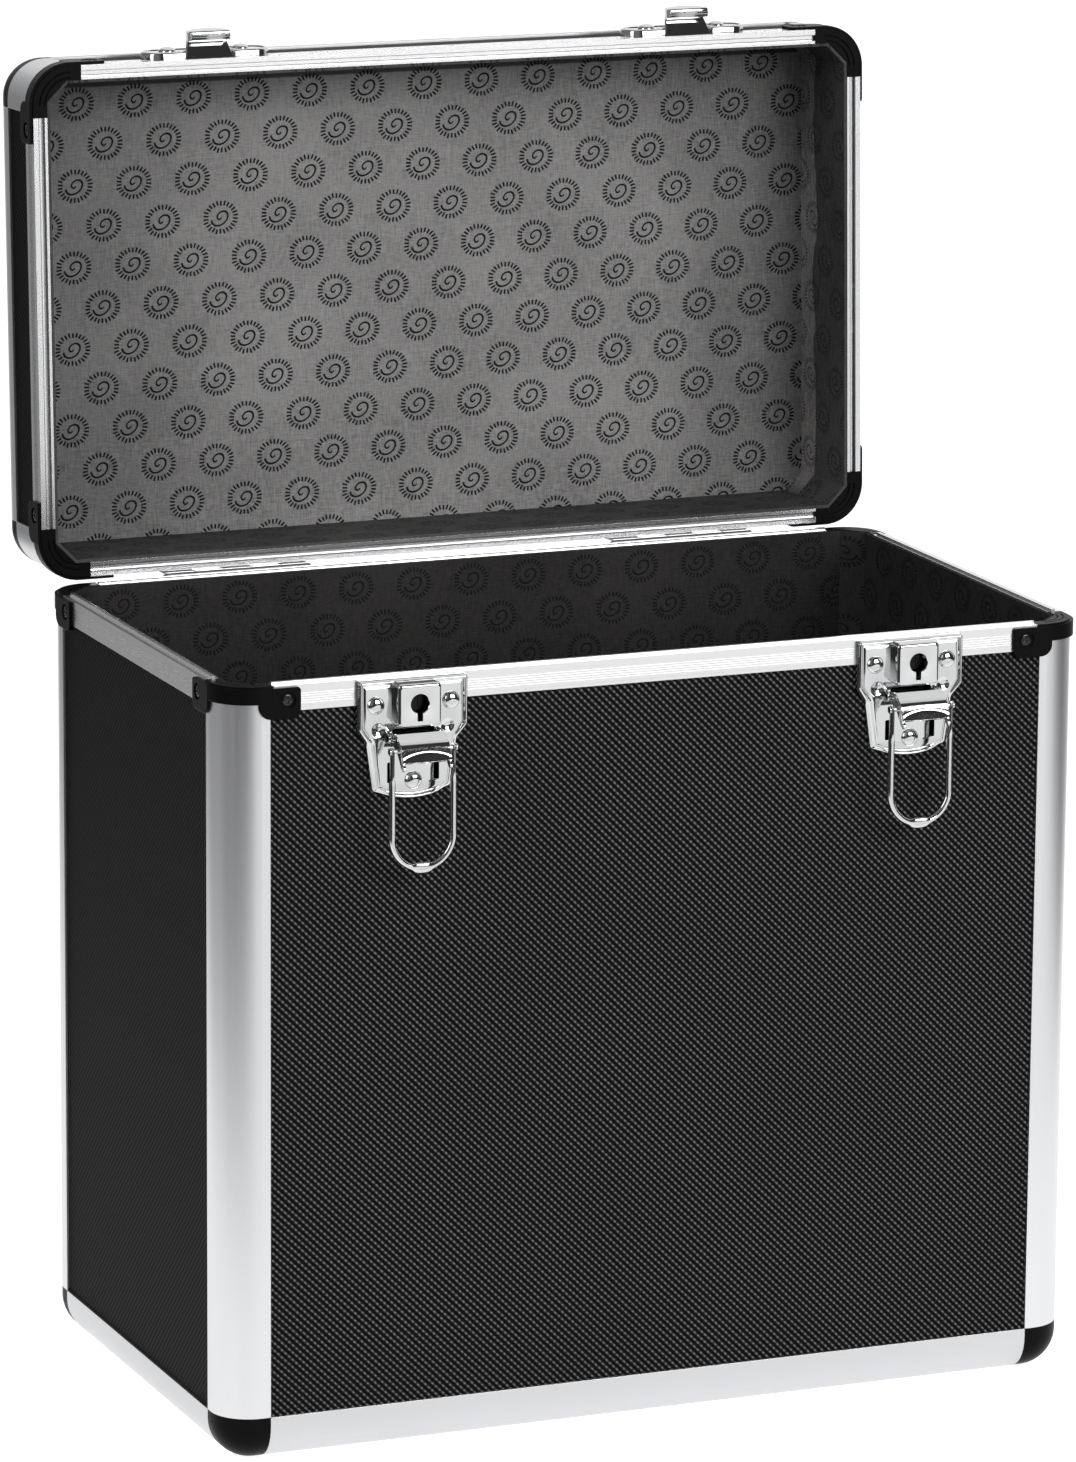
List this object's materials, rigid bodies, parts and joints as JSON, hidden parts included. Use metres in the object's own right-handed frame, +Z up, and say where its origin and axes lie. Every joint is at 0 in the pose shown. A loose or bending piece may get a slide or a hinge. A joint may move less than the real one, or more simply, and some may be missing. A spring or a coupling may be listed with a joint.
{
  "type": "record carrying case",
  "caption": "Upright rectangular carrying case with a rear-hinged lid standing open, draw latches, aluminium rim and black corners.",
  "frame": {"origin": "centre of the base, on the surface the case stands on", "axes": "+X along the front to the right, -Y out of the latched front face, +Z up"},
  "size_m": [0.3524, 0.2899, 0.5108],
  "materials": {
    "skin_board": "hardboard under a black ribbed plastic skin",
    "aluminium_profile": "extruded, satin anodised",
    "aluminium_rail": "extruded with fine reeding",
    "corner_plastic": "moulded black, satin",
    "screw_steel": "small cross-head screws",
    "body_lining": "dark grey paper-backed cloth",
    "lid_lining": "grey embossed cloth",
    "chrome_plate": "pressed steel, chromed",
    "chrome_wire": "chromed wire",
    "rivet_chrome": "dome rivets",
    "cam_steel": "plain steel, shaded inside the lock",
    "grip_plastic": "moulded black"
  },
  "bodies": {
    "case_body": {"body_corner_profiles": "aluminium_profile", "body_lining_floor": "body_lining", "body_lining_walls": "body_lining", "body_panel_bottom": "skin_board", "body_panel_front": "skin_board", "body_panel_left": "skin_board", "body_panel_rear": "skin_board", "body_panel_right": "skin_board", "body_rim_corners": "corner_plastic", "body_rim_front": "aluminium_rail", "body_rim_left": "aluminium_rail", "body_rim_rear": "aluminium_rail", "body_rim_right": "aluminium_rail", "body_rim_screws": "screw_steel", "body_rivets": "rivet_chrome", "bottom_ball_corners": "corner_plastic", "bottom_profiles_long": "aluminium_profile", "bottom_profiles_short": "aluminium_profile", "hinge_leaves_body": "chrome_plate", "hinge_pins": "chrome_plate", "latch_plate_left": "chrome_plate", "latch_plate_right": "chrome_plate", "lever_pins": "chrome_plate", "lock_case_left": "chrome_plate", "lock_case_right": "chrome_plate"},
    "lid": {"handle_brackets": "chrome_plate", "handle_pins": "chrome_plate", "hinge_leaves_lid": "chrome_plate", "lid_ball_corners": "corner_plastic", "lid_catch_left": "chrome_plate", "lid_catch_right": "chrome_plate", "lid_corner_profiles": "aluminium_profile", "lid_lining_top": "lid_lining", "lid_lining_walls": "lid_lining", "lid_panel_front": "skin_board", "lid_panel_left": "skin_board", "lid_panel_rear": "skin_board", "lid_panel_right": "skin_board", "lid_panel_top": "skin_board", "lid_rim_corners": "corner_plastic", "lid_rim_front": "aluminium_rail", "lid_rim_left": "aluminium_rail", "lid_rim_rear": "aluminium_rail", "lid_rim_right": "aluminium_rail", "lid_rim_screws": "screw_steel", "lid_rivets": "rivet_chrome", "lid_top_profiles_long": "aluminium_profile", "lid_top_profiles_short": "aluminium_profile"},
    "lever_left": {"latch_lever_left": "chrome_plate"},
    "lever_right": {"latch_lever_right": "chrome_plate"},
    "bail_pivot_left": {"bail_pin_left": "chrome_wire"},
    "bail_pivot_right": {"bail_pin_right": "chrome_wire"},
    "bail_left": {"latch_bail_left": "chrome_wire"},
    "bail_right": {"latch_bail_right": "chrome_wire"},
    "cam_left": {"lock_cam_left": "cam_steel"},
    "cam_right": {"lock_cam_right": "cam_steel"},
    "handle": {"handle_grip": "grip_plastic"}
  },
  "joints": [
    {"name": "lid_hinge", "type": "hinge", "parent": "case_body", "child": "lid", "pos_m": [0, 0.10305, 0.2973], "axis": [1, 0, 0], "range_deg": [0, 92.3]},
    {"name": "lever_left_hinge", "type": "hinge", "parent": "case_body", "child": "lever_left", "pos_m": [-0.1012, -0.1048, 0.277], "axis": [1, 0, 0], "range_deg": [0, 60], "stiffness_Nm_per_rad": 0.02, "springref_deg": -17.19},
    {"name": "bail_pivot_left_turn", "type": "hinge", "parent": "lever_left", "child": "bail_pivot_left", "pos_m": [-0.1012, -0.1122, 0.2735], "axis": [1, 0, 0], "range_deg": [-60, 0]},
    {"name": "bail_left_swing", "type": "hinge", "parent": "bail_pivot_left", "child": "bail_left", "pos_m": [-0.1012, -0.1122, 0.2735], "axis": [-1, 0, 0], "range_deg": [0, 177]},
    {"name": "cam_left_turn", "type": "hinge", "parent": "case_body", "child": "cam_left", "pos_m": [-0.1012, -0.1045, 0.2901], "axis": [0, -1, 0], "range_deg": [0, 90]},
    {"name": "lever_right_hinge", "type": "hinge", "parent": "case_body", "child": "lever_right", "pos_m": [0.1012, -0.1048, 0.277], "axis": [1, 0, 0], "range_deg": [0, 60], "stiffness_Nm_per_rad": 0.02, "springref_deg": -17.19},
    {"name": "bail_pivot_right_turn", "type": "hinge", "parent": "lever_right", "child": "bail_pivot_right", "pos_m": [0.1012, -0.1122, 0.2735], "axis": [1, 0, 0], "range_deg": [-60, 0]},
    {"name": "bail_right_swing", "type": "hinge", "parent": "bail_pivot_right", "child": "bail_right", "pos_m": [0.1012, -0.1122, 0.2735], "axis": [-1, 0, 0], "range_deg": [0, 177]},
    {"name": "cam_right_turn", "type": "hinge", "parent": "case_body", "child": "cam_right", "pos_m": [0.1012, -0.1045, 0.2901], "axis": [0, -1, 0], "range_deg": [0, 90]},
    {"name": "handle_fold", "type": "hinge", "parent": "lid", "child": "handle", "pos_m": [0, 0.16574, 0.39792], "axis": [1, 0, 0], "range_deg": [0, 180]}
  ],
  "couplings": [
    {"joint": "bail_pivot_left_turn", "follows": "lever_left_hinge", "ratio": -1},
    {"joint": "bail_pivot_right_turn", "follows": "lever_right_hinge", "ratio": -1}
  ]
}
